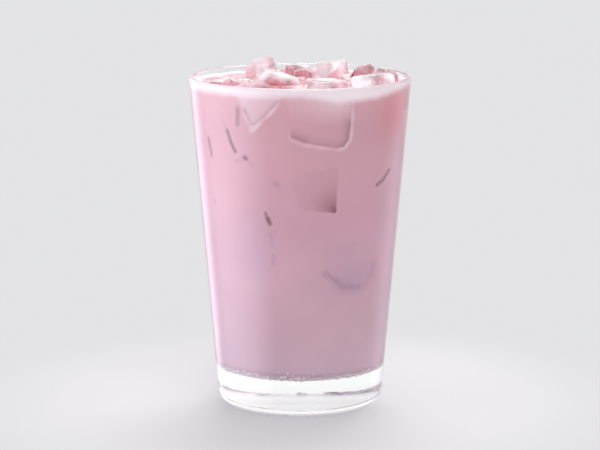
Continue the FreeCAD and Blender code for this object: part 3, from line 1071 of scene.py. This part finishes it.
def shardPoints(look, chance):
    points = []
    inset = Vector((1, 1, 0)) * look["inset"] * mm
    boxes = [(low + inset, high - inset) for low, high in (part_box(name) for name in iceNames)]
    while len(points) < look["count"]:
        bearing, radius = chance.uniform(0, 360), look["within"] * math.sqrt(chance.uniform(0.03, 1))
        x, y, z = onWall(bearing, radius, level - chance.uniform(*look["depth"]))
        if not any(low.x < x < high.x and low.y < y < high.y for low, high in boxes):
            points.append((x, y, z))
    for across, back, spread, lift, count in look["heaps"]:
        for k in range(count):
            away = np.clip(chance.normal(0, 0.55, 2), -1.2, 1.2)
            height = lift * math.exp(-(away @ away)) * chance.uniform(0.2, 1)
            x, y = across + away[0] * spread, back + away[1] * spread
            short = min(1, look["heapsWithin"] / math.hypot(x, y))
            points.append((x * short * mm, y * short * mm, (level - 0.5 + height) * mm))
    return points


# Fine marks pressed just inside the foot's rounded edge, in loose groups.
stippleLook = {
    "count": 150,
    "smallest": 0.35,
    "largest": 0.75,
    "flatness": 0.25,
    "tumble": 0.0,
    "brokenness": 0.6,
    "detail": 2,
    "smooth": True,
    "seed": 31,
    "bearings": (110, 250),
    "lean": (26, 52),       # round the edge, in degrees up from underneath
    "deep": 0.45,           # how far inside the glass
    "gap": -0.05,           # what the noise has to pass for a group
}


def stipplePoints(look, chance):
    s = glassSizes
    middle = s["footRadius"] - s["footRound"] + 0.3
    inner = s["footRound"] - look["deep"]
    points = []
    while len(points) < look["count"]:
        bearing = chance.uniform(*look["bearings"])
        if frothNoise(bearing, 9, 3.5) < look["gap"]:
            continue
        lean = math.radians(chance.uniform(*look["lean"]))
        radius = middle + inner * math.sin(lean)
        points.append(onWall(bearing, radius, s["footRound"] - inner * math.cos(lean)))
    return points


def milkBubble(add):
    # a thin film of milk round air: pale and glossy
    return add("ShaderNodeBsdfPrincipled", {
        "Base Color": toLinear("#FCF3F7"), "Roughness": 0.15, "IOR": 1.35})


def pressedStipple(add):
    # small rough marks pressed in the foot: they scatter, so they look dusky in
    # clear glass
    place = add("ShaderNodeTexCoord").outputs["Object"]
    patch = add("ShaderNodeTexNoise", {"Vector": place, "Scale": 1 / (9 * mm), "Detail": 2.0})
    ramp = add("ShaderNodeValToRGB", {"Fac": patch})
    stops = ramp.color_ramp.elements
    stops[0].position = 0.38
    stops[0].color = toLinear("#A893AC")
    stops[1].position = 0.62
    stops[1].color = toLinear("#D9CCDD")
    return add("ShaderNodeBsdfPrincipled", {"Base Color": ramp, "Roughness": 0.5})


# A small round pale table under soft lamps, in front of an even pale ground.
stageLook = {
    "paper": "#EAEAEC",     # the ground, as the eye sees it
    "glow": 0.94,
    "through": 0.98,        # the white that glass shows and mirrors
    "room": "#F6F5F7",      # the light from all round
    "fill": 0.76,
    "tableTop": "#D6D6D9",
    "table": 150.0,         # its radius
    "near": 60.0,           # where the table starts to fade into the ground
    "columns": 96,
}


def seenPlainly(add):
    # what the eye sees of the ground itself, and what it sees in or through
    # glass before the light has met anything dull
    path = add("ShaderNodeLightPath").outputs
    bare = add("ShaderNodeMath", {0: path["Diffuse Depth"], 1: 0.5}, operation="LESS_THAN")
    glassy = add("ShaderNodeMath", {
        0: path["Is Glossy Ray"], 1: 0.6, 2: path["Is Transmission Ray"]}, operation="MULTIPLY_ADD")
    glassy = add("ShaderNodeMath", {0: glassy, 1: bare}, operation="MULTIPLY")
    return path["Is Camera Ray"], glassy


def paleTable(add):
    # matt pale laminate that fades into the ground towards its edge
    look = stageLook
    place = add("ShaderNodeTexCoord").outputs["Object"]
    distance = add("ShaderNodeVectorMath", {0: place}, operation="LENGTH").outputs["Value"]
    off = add("ShaderNodeMapRange", {
        "Value": distance, "From Min": look["near"] * mm, "From Max": (look["table"] - 2) * mm},
        interpolation_type="SMOOTHSTEP")
    camera, glassy = seenPlainly(add)
    seen = add("ShaderNodeMath", {0: camera, 1: off}, operation="MULTIPLY")
    plain = add("ShaderNodeBsdfPrincipled", {"Base Color": toLinear(look["tableTop"]), "Roughness": 0.9})
    glow = add("ShaderNodeEmission", {"Color": toLinear(look["paper"]), "Strength": look["glow"]})
    white = add("ShaderNodeEmission", {"Color": toLinear("#FFFFFF"), "Strength": look["through"]})
    mixed = add("ShaderNodeMixShader", {0: seen, 1: plain, 2: glow})
    return add("ShaderNodeMixShader", {0: glassy, 1: mixed, 2: white})


def makeTable():
    columns = stageLook["columns"]
    vertices = [(0, 0, 0)]
    for radius in (50, 100, stageLook["table"]):
        vertices += ringOf(columns, radius, 0)
    faces = []
    for k in range(columns):
        k2 = (k + 1) % columns
        faces.append((0, 1 + k, 1 + k2))
        for a in (1, 1 + columns):
            faces.append((a + k, a + columns + k, a + columns + k2, a + k2))
    floor = newPiece("floor", vertices, faces, makeMaterial("paleTable", paleTable))
    floor.visible_glossy = False


lamps = {
    # name: bearing, then metres off, up, wide and tall, watts on dull things, watts
    # mirrored in shiny ones, colour, feathered sides
    "sideLeft": (-84, 0.8, -0.08, 2.00, 1.0, 9.6, 17.0, "#F9F1FF", True),
    "sideRight": (126, 0.8, -0.08, 0.75, 1.0, 1.9, 1.35, "#F3E8FF", True),
    "backLeft": (-141, 0.8, -0.08, 0.60, 0.9, 2.4, 3.0, "#F9F1FF", True),
    "softRight": (70, 0.8, 0.10, 1.20, 1.0, 2.1, 0, "#FDF8FF", True),
    "frontHigh": (14, 0.75, 0.75, 0.70, 0.5, 2.95, 3.7, "#FFFFFF", False),
    "topBack": (170, 0.5, 0.85, 0.50, 0.4, 4.0, 5.0, "#FFFFFF", False),
}
lampsAim = Vector((0, 0, 0.08))


def featherSides(data):
    # a soft box that fades towards its left and right edges
    add = nodesOf(data)
    across = add("ShaderNodeNewGeometry").outputs["Parametric"]
    across = add("ShaderNodeSeparateXYZ", {"Vector": across}).outputs["X"]
    wave = add("ShaderNodeMath", {0: across, 1: math.pi}, operation="MULTIPLY")
    wave = add("ShaderNodeMath", {0: wave}, operation="SINE")
    wave = add("ShaderNodeMath", {0: wave, 1: 2.0}, operation="POWER")
    glow = add("ShaderNodeEmission", {"Strength": wave})
    add("ShaderNodeOutputLight", {"Surface": glow})


def makeLamp(name, place, width, tall, watts, colour, feathered, mirrored):
    data = bpy.data.lights.new(name, "AREA")
    data.shape = "RECTANGLE"
    data.size = width
    data.size_y = tall
    data.energy = watts
    data.color = toLinear(colour)[:3]
    data.cycles.use_multiple_importance_sampling = mirrored
    if feathered:
        featherSides(data)
    lamp = inScene(name, data)
    lamp.visible_camera = False
    lamp.visible_transmission = False
    lamp.visible_diffuse = not mirrored
    lamp.visible_glossy = mirrored
    lamp.location = place
    lamp.rotation_euler = (lampsAim - lamp.location).to_track_quat("-Z", "Y").to_euler()


def makeLamps():
    # two in each place, one for dull things and one that only shiny things mirror,
    # so that the glass in front of the drink takes none of the drink's light
    for name, (turn, reach, height, width, tall, dull, shiny, colour, feathered) in lamps.items():
        place = onWall(turn, reach / mm, height / mm)
        makeLamp(name, place, width, tall, dull, colour, feathered, False)
        makeLamp(name + "Mirrored", place, width, tall, shiny, colour, feathered, True)


def makeRoom():
    look = stageLook
    world = bpy.data.worlds.new("softRoom")
    add = nodesOf(world)
    camera, glassy = seenPlainly(add)
    fill = add("ShaderNodeBackground", {"Color": toLinear(look["room"]), "Strength": look["fill"]})
    ground = add("ShaderNodeBackground", {"Color": toLinear(look["paper"]), "Strength": look["glow"]})
    white = add("ShaderNodeBackground", {"Color": toLinear("#FFFFFF"), "Strength": look["through"]})
    way = add("ShaderNodeTexCoord").outputs["Generated"]
    height = add("ShaderNodeSeparateXYZ", {"Vector": way}).outputs["Z"]
    above = add("ShaderNodeMapRange", {"Value": height, "From Min": -0.1, "From Max": 0.05})
    above = add("ShaderNodeMath", {0: above, 1: glassy}, operation="MULTIPLY")
    plainly = add("ShaderNodeMath", {0: camera, 1: glassy}, operation="MAXIMUM")
    mixed = add("ShaderNodeMixShader", {0: plainly, 1: fill, 2: ground})
    mixed = add("ShaderNodeMixShader", {0: above, 1: mixed, 2: white})
    add("ShaderNodeOutputWorld", {"Surface": mixed})
    # rays find the room by themselves, so that glass in front of the drink doesn't
    # count its light twice
    world.cycles.sampling_method = "NONE"
    bpy.context.scene.world = world


# place is in metres, tilt in degrees
cameraLook = {"lens": 149.58, "sensor": 36, "place": (0, -1.0, 0.25523), "tilt": 79.6569}


def makeCamera():
    data = bpy.data.cameras.new("camera")
    data.lens = cameraLook["lens"]
    data.sensor_width = cameraLook["sensor"]
    data.clip_start = 0.05
    camera = inScene("camera", data)
    camera.location = cameraLook["place"]
    camera.rotation_euler = (math.radians(cameraLook["tilt"]), 0, 0)
    bpy.context.scene.camera = camera


def handOver(piece, slot, *nodes):
    if nodes:
        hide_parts(*nodes)
    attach(piece, "root")
    return piece


bpy.context.scene.view_settings.view_transform = "Standard"
# the clear base passes light on many times
bpy.context.scene.cycles.max_bounces = 24
bpy.context.scene.cycles.glossy_bounces = 16
bpy.context.scene.cycles.transmission_bounces = 20
makeTable()
makeLamps()
makeRoom()
makeCamera()
print("stage, lamps and camera")

clearGlass = makeMaterial("sodaLimeGlass", sodaLimeGlass)
glass = turnedPiece("glass_clear", glassOutline(), glassSizes["columns"], clearGlass)
handOver(glass, "clear_glass", "glass")
print("glass")

ice = makeMaterial("meltingIce", meltingIce)
blocks = [handOver(icePiece(name, ice), "ice", name) for name in iceNames]
print("floating ice")

drinkWall = makeMaterial("milkyFruitDrink", milkyDrink)
drinkTop = makeMaterial("milkyFruitDrinkWet", wetDrink)
handOver(drinkPiece(drinkWall, drinkTop, blocks), "fruit_drink", "drink")
print("drink")

handOver(sunkIcePiece(makeMaterial("sunkIceAndPaintedShade", milkyDrink)), "fruit_drink")
handOver(frothPiece(makeMaterial("milkFroth", milkyDrink)), "fruit_drink")
print("sunk ice and froth")

scatter = scatterTree("smallBits")
bubble = makeMaterial("milkBubble", milkBubble)
stipple = makeMaterial("pressedGlassStipple", pressedStipple)
handOver(scattered("froth_bubbles", bubbleLook, bubblePoints, scatter, bubble), "fruit_drink")
handOver(scattered("floor_beads", beadLook, beadPoints, scatter, bubble), "fruit_drink")
handOver(scattered("ice_shards", shardLook, shardPoints, scatter, ice), "ice")
handOver(scattered("foot_stipple", stippleLook, stipplePoints, scatter, stipple), "clear_glass")
print("bubbles, loose ice and foot")
